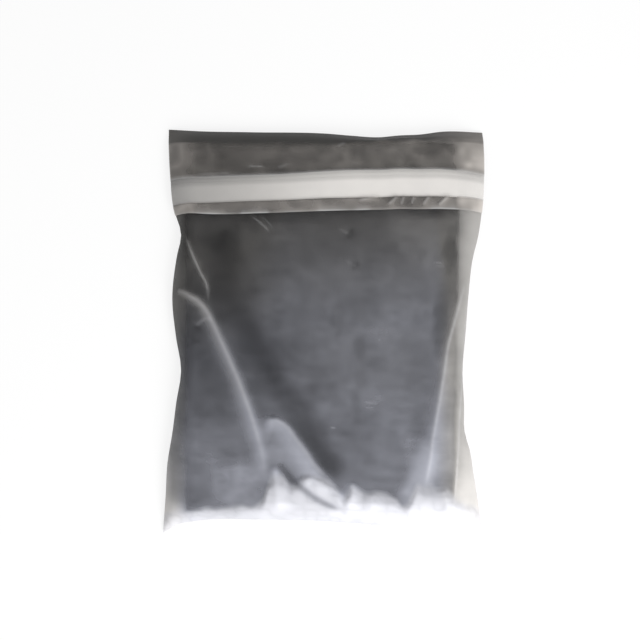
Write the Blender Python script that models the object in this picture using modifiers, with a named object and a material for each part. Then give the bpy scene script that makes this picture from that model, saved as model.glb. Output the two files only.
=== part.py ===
"""A frosted film mailing bag, closed by its folded flap, with folded goods inside.

The bag is one web of film. It starts at the mouth of the front panel, runs down the front,
round the bottom fold, up the back, round the top fold and down over the front as the flap.
Front and back are welded along both sides. An adhesive strip lies on the inner face of the
flap, and its release liner is still on it.

Units are metres and +Z is up. The bag lies on its back, +Y points to the flap, and the
origin is on the floor under the middle of the bag. The shapes are drawn with y counted from
the corners of the bottom fold, and each object is moved back by half the bag's length.
"""

import bmesh
import bpy
import numpy as np

MM = 0.001

# Film web
BAG_WIDTH = 254 * MM  # flat width over both side welds
BAG_LENGTH = 324 * MM  # bottom fold to top fold, laid flat
FLAP_LENGTH = 66 * MM  # top fold to the free edge of the flap
MOUTH_DROP = 11.5 * MM  # top fold to the mouth of the front panel
FILM = 0.4 * MM  # wall; stands in for film of about 0.06 mm
FLAP_SKEW = 3.5 * MM  # the left end of the flap hangs this much lower than the right

# Strips on the inner face of the flap
LINER_WIDTH = 22 * MM
ADHESIVE_WIDTH = 17 * MM
STRIP = 0.25 * MM  # thickness of each strip
LINER_MARGIN = 9 * MM  # free edge of the flap to the liner

# Folded goods
GOODS_THICKNESS = 23 * MM
GOODS_TOP_THICKNESS = 12 * MM  # thinner under the flap
GOODS_TAPER = 9 * MM  # wider at the top than at the bottom by this
GOODS_SHIFT = -1.6 * MM  # off the middle, to the left
SIDE_ROOM = 37 * MM  # bag width less the mean width of the goods
BOTTOM_ROOM = 7 * MM  # bottom fold to the goods
TOP_ROOM = 3 * MM  # top fold to the goods
SHOULDER = 9 * MM  # radius of the soft edges of the goods
WAIST_GAP = 4 * MM  # side weld to the goods where the bag is narrowest
GAP = 0.3 * MM  # air between pieces that lie on each other
WAVE = 0.6 * MM  # how far the soft goods swell and sink
GOODS_CORNER = 0.02  # share by which their corners are drawn in

# Heights of the edges of the bag above the floor
CORNER_LIFT = 1.5 * MM
WELD_SHARE = 0.36  # of the thickness of the goods beside it
FOLD_SHARE = 0.30
TOP_FOLD_LIFT = 5.5 * MM
TOP_DIP = 5.7 * MM  # deepest dip in the line of the top fold

# How far the side welds are drawn in, from 0 at full width to 1 at the waist,
# against the share of the length from the bottom fold
LEFT_WAIST = (
    (0, 0), (0.09, 0.15), (0.17, 0.24), (0.25, 0.52), (0.32, 0.72), (0.40, 1), (0.48, 0.69),
    (0.58, 0.44), (0.68, 0.72), (0.735, 1), (0.795, 0.52), (0.895, 0.2), (1, 0),
)
RIGHT_WAIST = (
    (0, 0), (0.09, 0.24), (0.15, 0.43), (0.21, 0.62), (0.25, 0.85), (0.32, 0.9), (0.40, 1),
    (0.50, 0.87), (0.60, 0.74), (0.68, 0.56), (0.735, 0.28), (0.78, 0.13), (0.93, -0.05), (1, 0),
)
# How far the bottom fold is drawn up and the top fold dips, against the share of the width
BOTTOM_TUCK = (
    (0, 0), (0.05, 0.62), (0.1, 0.85), (0.32, 1), (0.56, 0.87), (0.69, 0.67), (0.83, 0.47),
    (0.95, 0.34), (1, 0),
)
TOP_WAVE = (
    (0, 0), (0.1, 0.3), (0.26, 0.42), (0.51, 0.56), (0.58, 0.8), (0.67, 1), (0.735, 0.72),
    (0.8, 0.56), (0.87, 0.12), (1, 0.1),
)

# Folds of the front panel: rise, half width, and the ridge line from end to end as shares
# of the half width (left -1, right 1) and of the length from the bottom fold
LONG_FOLD = ((-0.9, 0.588), (-0.8, 0.57), (-0.7, 0.527), (-0.56, 0.4), (-0.43, 0.27), (-0.33, 0.14))
RIGHT_FOLD = ((0.85, 0.6), (0.79, 0.49), (0.72, 0.35), (0.69, 0.25), (0.64, 0.09))
FOLDS = (
    (5.5 * MM, 9 * MM, LONG_FOLD),
    (4.5 * MM, 9 * MM, RIGHT_FOLD),
    (3.5 * MM, 7 * MM, ((-0.89, 0.74), (-0.82, 0.68), (-0.75, 0.63), (-0.71, 0.56))),
    (4.0 * MM, 9 * MM, ((-0.31, 0.31), (-0.2, 0.22), (-0.05, 0.13))),
    (3.5 * MM, 8 * MM, ((-0.17, 0.15), (0, 0.12), (0.16, 0.08))),
    (3.0 * MM, 7 * MM, ((0.17, 0.13), (0.33, 0.1), (0.46, 0.05))),
    (3.5 * MM, 8 * MM, ((0.55, 0.16), (0.64, 0.12), (0.78, 0.07))),
    (2.0 * MM, 12 * MM, ((0.1, 0.74), (0.18, 0.65), (0.1, 0.53))),
)

# Mesh density
COLUMNS = 36
BODY_ROWS = 28
GOODS_COLUMNS = 10
GOODS_ROWS = 14
EDGE_CROWDING = 0.45  # 0 spaces the columns and rows evenly, more crowds them at the edges
STEP = 1e-4  # step in the bag's own coordinates for its slopes

# Sizes that follow
TUCK = GOODS_THICKNESS / 2
GOODS_WIDTH = BAG_WIDTH - SIDE_ROOM
GOODS_BASE = FILM + GAP
GOODS_BOTTOM = TUCK + BOTTOM_ROOM
GOODS_TOP = BAG_LENGTH - TOP_DIP - TOP_ROOM
LINER_OFFSET = FILM + GAP
ADHESIVE_OFFSET = LINER_OFFSET + STRIP + GAP
FLAP_OFFSET = ADHESIVE_OFFSET + STRIP + GAP

# Places along the bag, as shares of its length
MOUTH = 1 - MOUTH_DROP / BAG_LENGTH
FLAP_EDGE = 1 - FLAP_LENGTH / BAG_LENGTH
LINER_LOW = FLAP_EDGE + LINER_MARGIN / BAG_LENGTH
LINER_HIGH = LINER_LOW + LINER_WIDTH / BAG_LENGTH
ADHESIVE_HIGH = LINER_LOW + ADHESIVE_WIDTH / BAG_LENGTH


def through(knots, at):
    """Smooth curve through (position, value) knots."""
    place, value = np.array(knots, float).T
    slope = np.gradient(value, place)
    i = np.clip(np.searchsorted(place, at, side="right") - 1, 0, len(place) - 2)
    span = place[i + 1] - place[i]
    f = (at - place[i]) / span
    start = value[i] * (1 + 2 * f) + slope[i] * span * f
    end = value[i + 1] * (3 - 2 * f) - slope[i + 1] * span * (1 - f)
    return start * (1 - f) ** 2 + end * f**2


def ease(share):
    share = np.clip(share, 0, 1)
    return share * share * (3 - 2 * share)


def climb(distance, reach, power=2.2):
    """0 at an edge, 1 from the reach on, rounded off where it arrives."""
    return 1 - (1 - np.clip(distance / reach, 0, 1)) ** power


def crowded(count):
    """Shares from 0 to 1, closer together at both ends."""
    even = np.linspace(0, 1, count + 1)
    return even - EDGE_CROWDING * np.sin(2 * np.pi * even) / (2 * np.pi)


def shouldered(count, reach):
    """Shares from 0 to 1 with extra ones over the rounded edges, which take up reach."""
    rounding = reach * np.array([0, 0.1, 0.35, 0.65])
    return np.concatenate([rounding, np.linspace(reach, 1 - reach, count + 1), 1 - rounding[::-1]])


def goods_side(sign, v):
    """x of the goods' left (-1) or right (+1) side."""
    return GOODS_SHIFT + sign * (GOODS_WIDTH + GOODS_TAPER * (v - 0.5)) / 2


def weld_side(sign, v):
    """x of the left (-1) or right (+1) weld, full width less what the goods draw in."""
    waist = through(RIGHT_WAIST if sign > 0 else LEFT_WAIST, v)
    room = BAG_WIDTH / 2 - WAIST_GAP - sign * goods_side(sign, v)
    return sign * (BAG_WIDTH / 2 - waist * room)


def fold_lines(u):
    """y of the bottom fold and of the top fold, across the width."""
    return TUCK * through(BOTTOM_TUCK, u), BAG_LENGTH - TOP_DIP * through(TOP_WAVE, u)


def goods_height(x, y):
    """Top of the goods, away from their rounded edges."""
    share = y / BAG_LENGTH
    thickness = GOODS_THICKNESS + (GOODS_TOP_THICKNESS - GOODS_THICKNESS) * ease((share - 0.5) / 0.5)
    across = 2 * x / BAG_WIDTH
    swell = np.sin(5 * across + 7 * share) + np.sin(3 * across - 11 * share + 1)
    return GOODS_BASE + thickness * (1 - 0.05 * across**2) + WAVE * swell


def edge_height(u, v):
    """Height of the bag's edges, carried across between them."""
    along_weld = 1 - (2 * v - 1) ** 6
    along_fold = 1 - (2 * u - 1) ** 6
    weld = (WELD_SHARE * GOODS_THICKNESS - CORNER_LIFT) * along_weld
    bottom = (FOLD_SHARE * GOODS_THICKNESS - CORNER_LIFT) * along_fold
    top = (TOP_FOLD_LIFT - CORNER_LIFT) * along_fold
    return FILM + CORNER_LIFT + weld + (1 - v) * bottom + v * top


def placed(u, v):
    """Plan position and nearness to the goods: x, y, and the front's and back's climb."""
    skewed = ease((v - 0.6) / (FLAP_EDGE - 0.6)) * (1 - ease((v - MOUTH) / (1 - MOUTH)))
    v = v + skewed * FLAP_SKEW / BAG_LENGTH * (u - 0.5)
    left, right = weld_side(-1, v), weld_side(1, v)
    bottom, top = fold_lines(u)
    x = left + u * (right - left)
    y = bottom + v * (top - bottom)
    from_edges = (
        (x - left, goods_side(-1, v) - left + SHOULDER),
        (right - x, right - goods_side(1, v) + SHOULDER),
        (y - bottom, GOODS_BOTTOM - bottom + SHOULDER),
        (top - y, top - GOODS_TOP + SHOULDER),
    )
    front = np.prod([climb(distance, reach) for distance, reach in from_edges], axis=0)
    back = np.prod([climb(distance, reach, 3) for distance, reach in from_edges], axis=0)
    return x, y, edge_height(u, v), front, back


def skin(u, v):
    """Inner face of the film lying smooth over the goods."""
    x, y, edge, front, _ = placed(u, v)
    return np.stack([x, y, edge + (goods_height(x, y) + GAP - edge) * front], axis=-1)


def back_panel(u, v):
    """Inner face of the back: flat on the floor, and up to the edges round the goods."""
    x, y, edge, _, back = placed(u, v)
    return np.stack([x, y, edge + (FILM - edge) * back], axis=-1)


def outward(u, v):
    """Direction out of the skin."""
    low_u, high_u = np.clip(u - STEP, 0, 1), np.clip(u + STEP, 0, 1)
    low_v, high_v = np.clip(v - STEP, 0, 1), np.clip(v + STEP, 0, 1)
    normal = np.cross(skin(high_u, v) - skin(low_u, v), skin(u, high_v) - skin(u, low_v))
    return normal / np.linalg.norm(normal, axis=-1, keepdims=True)


def ridge(points, rise, reach, line):
    """Height of one fold at points, fading out towards both ends of its line."""
    share_x, share_y = np.array(line).T
    knots = np.linspace(0, 1, len(line))
    along = np.linspace(0, 1, 25)
    path_x = through(tuple(zip(knots, share_x)), along) * BAG_WIDTH / 2
    path_y = through(tuple(zip(knots, share_y)), along) * BAG_LENGTH
    distance = np.hypot(points[..., 0, None] - path_x, points[..., 1, None] - path_y)
    nearest = distance.argmin(axis=-1)
    fade = ease(np.minimum(along, 1 - along) / 0.25)[nearest]
    return rise * fade * np.exp(-((distance.min(axis=-1) / reach) ** 2))


def front_panel(u, v):
    """Inner face of the front with its folds, which end short of the flap and the edges."""
    points = skin(u, v)
    *_, front, _ = placed(u, v)
    below_flap = ease((FLAP_EDGE - v) * BAG_LENGTH / (10 * MM))
    for rise, reach, line in FOLDS:
        points[..., 2] += below_flap * front * ridge(points, rise, reach, line)
    return points


def lifted(u, v, offset):
    """Skin moved out by an offset, as a sheet that lies on it."""
    return skin(u, v) + outward(u, v) * offset


def flap(u, v):
    """Inner face of the flap: it leaves the top fold and clears the mouth and the strips."""
    rise = FLAP_OFFSET * ease((1 - v) / (1 - MOUTH))
    return lifted(u, v, rise[..., None])


def folded_web(u, stretches):
    """Grid bent into its folded form: one (surface, places along the bag) for each stretch."""
    rows = [(surface, v) for surface, places in stretches for v in places]
    web = bmesh.new()
    bmesh.ops.create_grid(web, x_segments=len(u) - 1, y_segments=len(rows) - 1, size=0.5)
    points = [surface(u, np.full_like(u, v)) for surface, v in rows]
    for vertex in web.verts:
        row = round((vertex.co.y + 0.5) * (len(rows) - 1))
        column = round((vertex.co.x + 0.5) * (len(u) - 1))
        vertex.co = points[row][column]
    return web


def weld(web):
    """Join the edges that lie on each other."""
    bmesh.ops.remove_doubles(web, verts=web.verts, dist=0.001 * MM)


def add_node(name, shape, material, collection):
    """Object from a bmesh, shaded smooth except over folds."""
    mesh = bpy.data.meshes.new(name)
    shape.to_mesh(mesh)
    shape.free()
    mesh.shade_smooth()
    mesh.set_sharp_from_angle(angle=np.radians(50))
    mesh.materials.append(material)
    node = bpy.data.objects.new(name, mesh)
    node.location.y = -BAG_LENGTH / 2
    collection.objects.link(node)
    return node


def thicken(node, thickness):
    """Give a sheet its thickness on its outer side."""
    solidify = node.modifiers.new("Thickness", "SOLIDIFY")
    solidify.thickness = thickness
    solidify.offset = 1


def make_material(name, colour, roughness, alpha=1.0):
    material = bpy.data.materials.new(name)
    material.use_nodes = True
    shader = material.node_tree.nodes["Principled BSDF"]
    shader.inputs["Base Color"].default_value = (*colour, 1)
    shader.inputs["Roughness"].default_value = roughness
    shader.inputs["Alpha"].default_value = alpha
    return material


def make_bag(collection):
    """The film: both panels, bottom fold, top fold and flap in one piece."""
    body = crowded(BODY_ROWS) * FLAP_EDGE
    under_flap = np.array([LINER_LOW, ADHESIVE_HIGH, LINER_HIGH, (LINER_HIGH + MOUTH) / 2, MOUTH])
    welded = np.concatenate([body, under_flap])
    past_mouth = MOUTH + (1 - MOUTH) * np.array([0.25, 0.5, 0.75])
    flap_places = np.concatenate([[FLAP_EDGE], under_flap, past_mouth])
    web = folded_web(
        crowded(COLUMNS),
        (
            (front_panel, welded[::-1]),
            (back_panel, np.concatenate([welded[1:], past_mouth, [1]])),
            (flap, flap_places[::-1]),
        ),
    )
    weld(web)
    bmesh.ops.reverse_faces(web, faces=web.faces)
    film = make_material("frosted_film", (0.55, 0.55, 0.57), 0.35, alpha=0.6)
    thicken(add_node("bag_film", web, film, collection), FILM)


def make_strip(name, places, offset, material, collection):
    """A strip right across the flap, between the first and the last of its places."""

    def surface(u, v):
        return lifted(u, v, offset)

    strip = folded_web(crowded(COLUMNS), ((surface, places),))
    thicken(add_node(name, strip, material, collection), STRIP)


def rounded(distance):
    """Quarter circle from 0 at an edge of the goods to 1 past its shoulder."""
    return np.sqrt(1 - (1 - np.clip(distance / SHOULDER, 0, 1)) ** 2)


def goods_sheet(above, u, v):
    """The goods' top or underside, which meet all round at their rim."""
    s, t = 2 * u - 1, 2 * v - 1
    left, right = goods_side(-1, v), goods_side(1, v)
    half_width, half_length = (right - left) / 2, (GOODS_TOP - GOODS_BOTTOM) / 2
    x = (left + right) / 2 + s * half_width * (1 - GOODS_CORNER * t**8)
    y = (GOODS_BOTTOM + GOODS_TOP) / 2 + t * half_length * (1 - GOODS_CORNER * s**8)
    top = goods_height(x, y)
    rim = GOODS_BASE + WELD_SHARE * (top - GOODS_BASE)
    rounding = rounded((1 - np.abs(s)) * half_width) * rounded((1 - np.abs(t)) * half_length)
    level = top if above else GOODS_BASE
    return np.stack([x, y, rim + (level - rim) * rounding], axis=-1)


def goods_top(u, v):
    return goods_sheet(True, u, v)


def goods_underside(u, v):
    return goods_sheet(False, u, v)


def make_goods(collection):
    """Folded soft goods: a slab with rounded edges, thinner at the top."""
    across = shouldered(GOODS_COLUMNS, SHOULDER / GOODS_WIDTH)
    along = shouldered(GOODS_ROWS, SHOULDER / (GOODS_TOP - GOODS_BOTTOM))
    goods = folded_web(across, ((goods_top, along), (goods_underside, along[::-1])))
    weld(goods)
    cloth = make_material("dark_cloth", (0.03, 0.03, 0.033), 0.9)
    add_node("folded_contents", goods, cloth, collection)


def build():
    for item in list(bpy.data.objects):
        bpy.data.objects.remove(item)
    collection = bpy.data.collections.new("poly_mailer_bag")
    bpy.context.scene.collection.children.link(collection)
    paper = make_material("liner_paper", (0.85, 0.85, 0.84), 0.5)
    glue = make_material("adhesive", (0.8, 0.8, 0.78), 0.3)
    make_bag(collection)
    liner = (LINER_LOW, ADHESIVE_HIGH, LINER_HIGH)
    make_strip("release_liner", liner, LINER_OFFSET, paper, collection)
    make_strip("adhesive_strip", liner[:2], ADHESIVE_OFFSET, glue, collection)
    make_goods(collection)


build()
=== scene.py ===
"""Looks of the frosted mailing bag, in the frame of its solids: metres, +Z up, bag on its back.

The film is drawn as one fine web, in the same places as its solid, with every crease of the
front panel, and it is milky where it stands off the dark goods and nearly clear where it
touches them. Its colour also holds painted light and shade: painted shade at the left, painted
light to the right and the bottom, painted highlights on ridges, painted shade in valleys.
"""

import bpy
import numpy as np
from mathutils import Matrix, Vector


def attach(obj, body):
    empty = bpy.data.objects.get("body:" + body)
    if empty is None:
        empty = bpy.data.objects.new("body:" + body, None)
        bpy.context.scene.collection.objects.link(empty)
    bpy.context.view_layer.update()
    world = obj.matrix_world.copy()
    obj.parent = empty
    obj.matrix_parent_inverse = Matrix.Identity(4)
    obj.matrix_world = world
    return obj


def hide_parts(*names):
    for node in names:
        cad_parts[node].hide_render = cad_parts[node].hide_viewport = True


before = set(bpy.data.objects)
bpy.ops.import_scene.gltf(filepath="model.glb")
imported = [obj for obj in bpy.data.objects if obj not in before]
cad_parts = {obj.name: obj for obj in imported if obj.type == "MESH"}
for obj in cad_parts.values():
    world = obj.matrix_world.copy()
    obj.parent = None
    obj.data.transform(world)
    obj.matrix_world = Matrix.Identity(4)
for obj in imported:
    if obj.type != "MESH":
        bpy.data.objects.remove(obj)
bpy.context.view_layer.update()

MM = 0.001

# Sizes of the bag, as in its solids
BAG_WIDTH = 254 * MM
BAG_LENGTH = 324 * MM
FLAP_LENGTH = 66 * MM
MOUTH_DROP = 11.5 * MM
LINER_MARGIN = 9 * MM
LINER_WIDTH = 22 * MM
ADHESIVE_WIDTH = 17 * MM
GOODS_THICKNESS = 23 * MM
GOODS_TOP_THICKNESS = 12 * MM
GOODS_TAPER = 9 * MM
GOODS_SHIFT = -1.6 * MM
SIDE_ROOM = 37 * MM
BOTTOM_ROOM = 7 * MM
TOP_ROOM = 3 * MM
SHOULDER = 9 * MM
WAIST_GAP = 4 * MM
WAVE = 0.6 * MM
CORNER_LIFT = 1.5 * MM
WELD_SHARE = 0.36
FOLD_SHARE = 0.30
TOP_FOLD_LIFT = 5.5 * MM
TOP_DIP = 5.7 * MM
GOODS_CORNER = 0.02

# Levels of the thin sheets within the walls of their solids
BACK_LEVEL = 0.2 * MM  # above the floor
GOODS_BASE = 0.7 * MM  # above the floor
SKIN_LEVEL = 0.5 * MM  # above the goods
LINER_LEVEL = 0.6 * MM  # above the front panel
ADHESIVE_LEVEL = 1.1 * MM
FLAP_LEVEL = 1.6 * MM

# Outline, as in the solids
LEFT_WAIST = (
    (0, 0), (0.09, 0.15), (0.17, 0.24), (0.25, 0.52), (0.32, 0.72), (0.40, 1), (0.48, 0.69),
    (0.58, 0.44), (0.68, 0.72), (0.735, 1), (0.795, 0.52), (0.895, 0.2), (1, 0),
)
RIGHT_WAIST = (
    (0, 0), (0.09, 0.24), (0.15, 0.43), (0.21, 0.62), (0.25, 0.85), (0.32, 0.9), (0.40, 1),
    (0.50, 0.87), (0.60, 0.74), (0.68, 0.56), (0.735, 0.28), (0.78, 0.13), (0.93, -0.05), (1, 0),
)
BOTTOM_TUCK = (
    (0, 0), (0.05, 0.62), (0.1, 0.85), (0.32, 1), (0.56, 0.87), (0.69, 0.67), (0.83, 0.47),
    (0.95, 0.34), (1, 0),
)
TOP_WAVE = (
    (0, 0), (0.1, 0.3), (0.26, 0.42), (0.51, 0.56), (0.58, 0.8), (0.67, 1), (0.735, 0.72),
    (0.8, 0.56), (0.87, 0.12), (1, 0.1),
)

# Creases of the front panel: rise and reach in millimetres, the reach to the left of the line's
# way at its start and its end and then to the right of it; sharpness; and the line as shares of
# the half width and of the length from the bottom
CREASES = (
    (3.1, (1.8, 4.0), (2.2, 8.5), 1.8, (
        (-0.925, 0.5915), (-0.915, 0.5914), (-0.905, 0.591), (-0.876, 0.588), (-0.831, 0.579),
        (-0.786, 0.569), (-0.734, 0.546), (-0.689, 0.514), (-0.636, 0.47), (-0.557, 0.403),
        (-0.492, 0.341), (-0.432, 0.275), (-0.386, 0.211), (-0.365, 0.157), (-0.356, 0.07))),
    (4.0, (2.2, 3.5), (10.0, 14.0), 2.0, (
        (-0.315, 0.281), (-0.285, 0.28), (-0.225, 0.265), (-0.167, 0.235), (-0.11, 0.206),
        (-0.059, 0.176), (0.005, 0.149), (0.09, 0.105))),
    (2.5, (3.0, 8.0), (3.0, 9.0), 1.8, ((-0.302, 0.175), (-0.288, 0.108), (-0.273, 0.03))),
    (3.0, (2.0, 3.0), (6.0, 7.0), 2.0, (
        (-0.17, 0.125), (-0.089, 0.14), (-0.026, 0.132), (0.049, 0.117), (0.125, 0.095),
        (0.2, 0.068))),
    (2.2, (2.0, 5.0), (1.6, 6.5), 1.4, (
        (0.885, 0.625), (0.863, 0.598), (0.813, 0.534), (0.764, 0.465), (0.745, 0.415),
        (0.721, 0.354), (0.697, 0.299), (0.672, 0.24), (0.66, 0.2), (0.645, 0.165),
        (0.63, 0.13), (0.61, 0.1))),
    (1.55, (4.0, 14.0), (4.0, 12.0), 3.0, (
        (0.875, 0.59), (0.84, 0.5), (0.8, 0.42), (0.77, 0.35), (0.755, 0.28), (0.74, 0.206),
        (0.71, 0.157), (0.67, 0.08))),
    (2.5, (1.1, 1.2), (1.6, 1.6), 1.2, (
        (0.907, 0.65), (0.889, 0.527), (0.872, 0.403), (0.847, 0.309), (0.829, 0.206),
        (0.812, 0.108), (0.806, 0.05))),
    (1.8, (1.3, 2.2), (1.3, 2.0), 1.3, (
        (-0.89, 0.745), (-0.823, 0.68), (-0.77, 0.636), (-0.731, 0.606), (-0.717, 0.56))),
    (1.5, (3.0, 8.0), (3.0, 8.0), 1.5, ((0.187, 0.135), (0.157, 0.05))),
    (1.2, (4.0, 8.0), (4.0, 8.0), 1.5, ((0.3, 0.11), (0.288, 0.04))),
    (1.1, (9.0, 12.0), (6.0, 7.0), 2.0, (
        (0.65, 0.25), (0.586, 0.176), (0.537, 0.127), (0.488, 0.068))),
    (1.5, (3.0, 6.0), (3.0, 6.0), 1.5, ((0.73, 0.12), (0.78, 0.05))),
    (0.6, (2.0, 2.0), (1.2, 1.2), 1.3, (
        (-0.473, 0.79), (-0.402, 0.763), (-0.34, 0.735))),
    (0.3, (2.0, 2.0), (1.0, 1.0), 1.3, ((0.08, 0.75), (0.17, 0.73))),
    (0.3, (2.0, 2.0), (1.0, 1.0), 1.3, ((0.12, 0.67), (0.21, 0.65))),
    (0.6, (3.0, 3.0), (1.5, 1.5), 1.3, ((-0.8, 0.505), (-0.746, 0.522), (-0.69, 0.524))),
)
# Creases that start with a round end instead of fading in
ROUND_STARTS = (1,)
# Lines where the film is pulled tight onto the goods: share of the rise taken off, width, line
TIGHT_BAND = (0.9, 11 * MM, (
    (-0.61, 0.74), (-0.62, 0.67), (-0.635, 0.6), (-0.52, 0.527), (-0.425, 0.465),
    (-0.335, 0.4), (-0.21, 0.329), (-0.1, 0.255), (0.04, 0.17)))
TIGHT_GROOVE = (0.6, 2.6 * MM, (
    (-0.26, 0.17), (-0.2, 0.142), (-0.137, 0.12), (-0.07, 0.1), (-0.01, 0.086),
    (0.06, 0.072), (0.12, 0.06)))
# Ridges that catch the light: which crease, how strongly, and how wide in millimetres
SHINES = (
    (0, 0.17, 1.8), (1, 0.2, 1.8), (4, 0.3, 1.5), (6, 0.22, 0.8), (7, 0.2, 1.0),
    (13, 0.05, 0.9), (14, 0.05, 0.9), (15, 0.1, 1.2),
)
# Where the film leaves the goods towards the bottom fold, across the width
LEAVES_GOODS = (
    (-1, 0.054), (-0.853, 0.061), (-0.686, 0.07), (-0.511, 0.073), (-0.41, 0.078),
    (-0.374, 0.092), (-0.33, 0.138), (-0.295, 0.151), (-0.245, 0.147), (-0.205, 0.13),
    (-0.165, 0.132), (-0.12, 0.144), (-0.04, 0.15), (0.02, 0.141), (0.08, 0.121),
    (0.125, 0.098), (0.15, 0.108), (0.176, 0.124), (0.205, 0.119), (0.235, 0.113), (0.275, 0.111),
    (0.325, 0.109), (0.37, 0.107), (0.413, 0.102), (0.46, 0.089), (0.488, 0.08),
    (0.515, 0.085), (0.537, 0.099), (0.574, 0.128), (0.62, 0.13), (0.7, 0.124), (0.76, 0.12),
    (0.82, 0.098), (0.893, 0.085), (1, 0.059),
)
# Soft swells where the film floats over the goods: rise and reach in millimetres, and place
SWELLS = (
    (0.7, 60, (0.3, 0.5)),
    (0.3, 45, (0.35, 0.25)),
    (0.6, 34, (-0.62, 0.2)),
    (0.5, 14, (-0.5, 0.1)),
    (0.6, 10, (-0.26, 0.18)),
    (1.2, 9, (-0.32, 0.205)),
    (0.4, 40, (-0.1, 0.6)),
    (0.7, 30, (0.7, 0.75)),
    (0.5, 10, (-0.64, 0.755)),
)
# Patches of painted shade, or of painted light where the share taken off is below 0: share, size in
# millimetres, place
SHADED_AND_LIT_PATCHES = (
    (0.45, (11, 14), (-0.686, 0.728)),
    (0.4, (6, 11), (-0.801, 0.618)),
    (0.3, (15, 9), (-0.427, 0.77)),
    (0.25, (7, 8), (-0.101, 0.67)),
    (0.5, (6, 16), (0.78, 0.69)),
    (0.4, (6, 23), (0.72, 0.515)),
    (0.3, (6, 12), (0.235, 0.385)),
    (0.35, (5, 16), (0.081, 0.52)),
    (0.35, (5, 11), (0.234, 0.457)),
    (0.22, (13, 18), (0.24, 0.42)),
    (0.55, (3.5, 3.5), (0.16, 0.738)),
    (0.55, (3.5, 4), (0.19, 0.656)),
    (0.22, (5, 6), (0.69, 0.785)),
    (0.22, (5, 5), (0.596, 0.683)),
    (0.6, (5, 2.5), (-0.779, 0.549)),
    (0.5, (5, 2.5), (-0.783, 0.5)),
    (0.4, (4.5, 2), (-0.794, 0.47)),
    (0.2, (4, 20), (0.2, 0.324)),
    (0.2, (7, 8), (0.563, 0.383)),
    (0.25, (8, 8), (0.572, 0.265)),
    (0.24, (13, 4), (-0.53, 0.205)),
    (0.22, (7, 12), (-0.3, 0.39)),
    (-0.3, (17, 8), (-0.5, 0.152)),
    (-0.4, (38, 19), (-0.62, 0.12)),
    (-0.9, (8, 5.5), (-0.64, 0.752)),
    (-0.12, (9, 9), (0.529, 0.527)),
)
# Patches of painted shade on the white of the film that has left the goods: share, size in
# millimetres, place
SHADED_WHITE_PATCHES = (
    (0.22, (6, 8), (-0.29, 0.125)),
    (0.15, (6, 6), (0.6, 0.1)),
    (0.25, (15, 8), (0.7, 0.115)),
)
# Fine wrinkles that catch the light, on the front and on the flap: strength, width in
# millimetres, line
GLINTS = (
    (0.2, 0.8, ((-0.473, 0.782), (-0.402, 0.76), (-0.344, 0.738))),
    (0.14, 0.8, ((-0.409, 0.782), (-0.358, 0.763), (-0.313, 0.743))),
    (0.12, 0.8, ((0.244, 0.324), (0.345, 0.321))),
    (0.1, 0.8, ((0.257, 0.312), (0.32, 0.309))),
    (0.16, 0.7, ((0.673, 0.665), (0.736, 0.663))),
    (0.12, 0.7, ((0.685, 0.656), (0.749, 0.656))),
    (0.16, 0.9, ((0.032, 0.262), (0.083, 0.262))),
)
FLAP_GLINTS = (
    (0.3, 0.8, ((-0.504, 0.9), (-0.43, 0.902), (-0.376, 0.899))),
    (0.3, 0.9, ((-0.3, 0.897), (-0.23, 0.91))),
    (0.3, 0.7, ((-0.815, 0.88), (-0.681, 0.881), (-0.579, 0.885))),
    (0.2, 0.9, ((0.07, 0.95), (0.1, 0.958), (0.128, 0.962))),
)
# Tone of the film in the air beside the goods, up the left and the right margin: painted shade darkens
# the left margin, painted light brightens the right
LEFT_TONE = (
    (0, 0.9), (0.06, 0.6), (0.12, 0.34), (0.2, 0.25), (0.3, 0.21), (0.6, 0.15), (0.8, 0.18), (1, 0.15),
)
RIGHT_TONE = (
    (0, 0.84), (0.1, 0.8), (0.25, 0.62), (0.5, 0.6), (0.7, 0.5), (0.8, 0.5), (1, 0.44),
)
# Tone of the milky film off the goods along the length, with painted light whitening it towards the
# bottom
FOLD_TONE = ((0, 1), (0.11, 0.95), (0.16, 0.75), (0.24, 0.58), (0.36, 0.52), (0.6, 0.45), (1, 0.42))
# Tints of the film: over the goods, and in the air or at the flap
COOL = (0.94, 0.965, 1.1)
WARM = (1.035, 1.0, 0.96)

# How far the flap's edge, the lower and the upper edge of the liner, and the mouth lie above
# straight lines, in millimetres, across the width
FLAP_WAVE = (
    (0, -4.9), (0.16, -6.1), (0.276, -4.7), (0.39, -3.4), (0.507, -1.35), (0.584, 0.6),
    (0.66, 2.3), (0.738, 1.9), (0.815, 1.1), (0.89, -0.6), (1, -0.6),
)
LINER_LOW_WAVE = (
    (0, -6.6), (0.16, -4.9), (0.276, -3.1), (0.39, -1.8), (0.507, 0.55), (0.584, 2.6),
    (0.66, 4.0), (0.738, 3.9), (0.815, 3.0), (0.89, 0.8), (1, 0.2),
)
LINER_HIGH_WAVE = (
    (0, -7.2), (0.16, -4.7), (0.276, -3.0), (0.39, -1.3), (0.507, 1.6), (0.584, 4.2),
    (0.66, 5.6), (0.738, 5.2), (0.815, 4.1), (0.89, 1.6), (1, -0.8),
)
MOUTH_WAVE = (
    (0, -1.8), (0.16, -2), (0.39, -2), (0.507, 0), (0.584, 2.5), (0.66, 4.5), (0.738, 5),
    (0.815, 3.7), (0.89, 2.6), (1, 3),
)
# Short slanting creases of the flap below the liner: rise in millimetres, which is also how
# strongly they shade, and upper and lower end
FLAP_CREASES = (
    (0.9, ((0.35, 0.832), (0.2, 0.817))),
    (0.9, ((0.46, 0.832), (0.39, 0.806))),
    (0.35, ((0.5, 0.838), (0.475, 0.806))),
    (0.3, ((0.56, 0.832), (0.54, 0.808))),
    (0.5, ((0.66, 0.834), (0.61, 0.806))),
    (0.9, ((0.79, 0.838), (0.7, 0.804))),
)

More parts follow.
